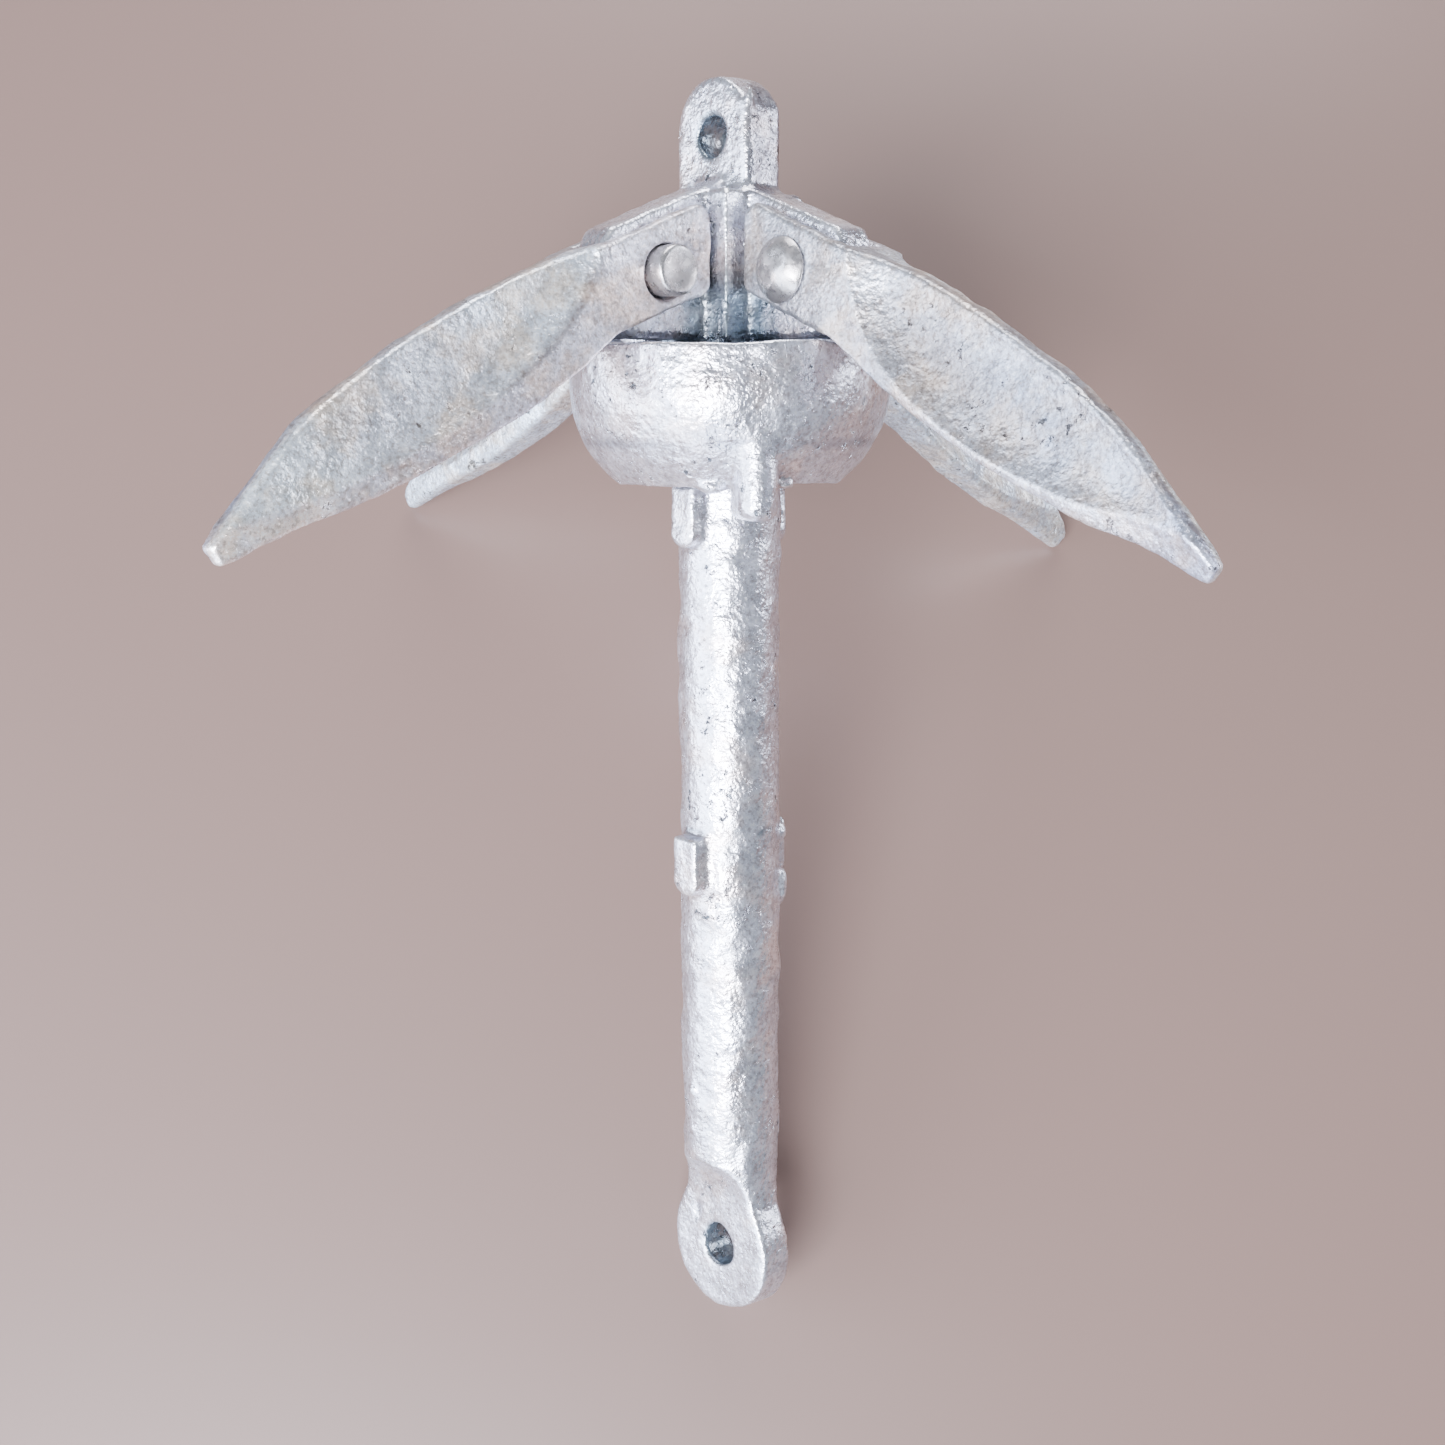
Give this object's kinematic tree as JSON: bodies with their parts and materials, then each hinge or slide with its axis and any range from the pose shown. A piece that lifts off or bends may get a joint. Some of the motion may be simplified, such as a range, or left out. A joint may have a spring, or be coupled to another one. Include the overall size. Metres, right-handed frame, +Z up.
{
  "type": "folding fluke anchor",
  "caption": "Folding grapnel anchor: straight shank with an eye at each end, pivoting flukes round the crown and a sliding cup collar that holds them open.",
  "frame": {"origin": "centre of the bounding box's base, on the surface that the anchor lies on", "axes": "+Z up; +Y along the ground from the rode eye towards the crown; X across, with the flukes spread evenly to both sides"},
  "size_m": [0.1654, 0.236, 0.1523],
  "materials": {
    "galvanised_casting": "hot-dip galvanised, light grey, mottled and slightly rough",
    "rivet_steel": "hammered smooth, brighter than the castings"
  },
  "bodies": {
    "shank_body": {"shank": "galvanised_casting", "rivet_upper_right": "rivet_steel", "rivet_lower_right": "rivet_steel", "rivet_lower_left": "rivet_steel", "rivet_upper_left": "rivet_steel"},
    "collar_body": {"collar": "galvanised_casting"},
    "fluke_upper_right_body": {"fluke_upper_right": "galvanised_casting"},
    "fluke_lower_right_body": {"fluke_lower_right": "galvanised_casting"},
    "fluke_lower_left_body": {"fluke_lower_left": "galvanised_casting"},
    "fluke_upper_left_body": {"fluke_upper_left": "galvanised_casting"}
  },
  "joints": [
    {"name": "collar_slide", "type": "slide", "parent": "shank_body", "child": "collar_body", "axis": [0, -0.9133, -0.4072], "range_m": [0, 0.12]},
    {"name": "fluke_upper_right_fold", "type": "hinge", "parent": "shank_body", "child": "fluke_upper_right_body", "pos_m": [0.01681, 0.07503, 0.11032], "axis": [0.7077, 0.2877, -0.6453], "range_deg": [0, 56.5]},
    {"name": "fluke_lower_right_fold", "type": "hinge", "parent": "shank_body", "child": "fluke_lower_right_body", "pos_m": [0.01684, 0.08793, 0.08139], "axis": [-0.7065, 0.2882, -0.6464], "range_deg": [0, 56.5]},
    {"name": "fluke_lower_left_fold", "type": "hinge", "parent": "shank_body", "child": "fluke_lower_left_body", "pos_m": [-0.01484, 0.08794, 0.08136], "axis": [-0.7077, -0.2877, 0.6453], "range_deg": [0, 56.5]},
    {"name": "fluke_upper_left_fold", "type": "hinge", "parent": "shank_body", "child": "fluke_upper_left_body", "pos_m": [-0.01486, 0.07504, 0.1103], "axis": [0.7065, -0.2882, 0.6464], "range_deg": [0, 56.5]}
  ],
  "couplings": [
    {"joint": "fluke_upper_right_fold", "follows": "collar_slide", "rad_per_m": 8.15},
    {"joint": "fluke_lower_right_fold", "follows": "collar_slide", "rad_per_m": 8.15},
    {"joint": "fluke_lower_left_fold", "follows": "collar_slide", "rad_per_m": 8.15},
    {"joint": "fluke_upper_left_fold", "follows": "collar_slide", "rad_per_m": 8.15}
  ]
}
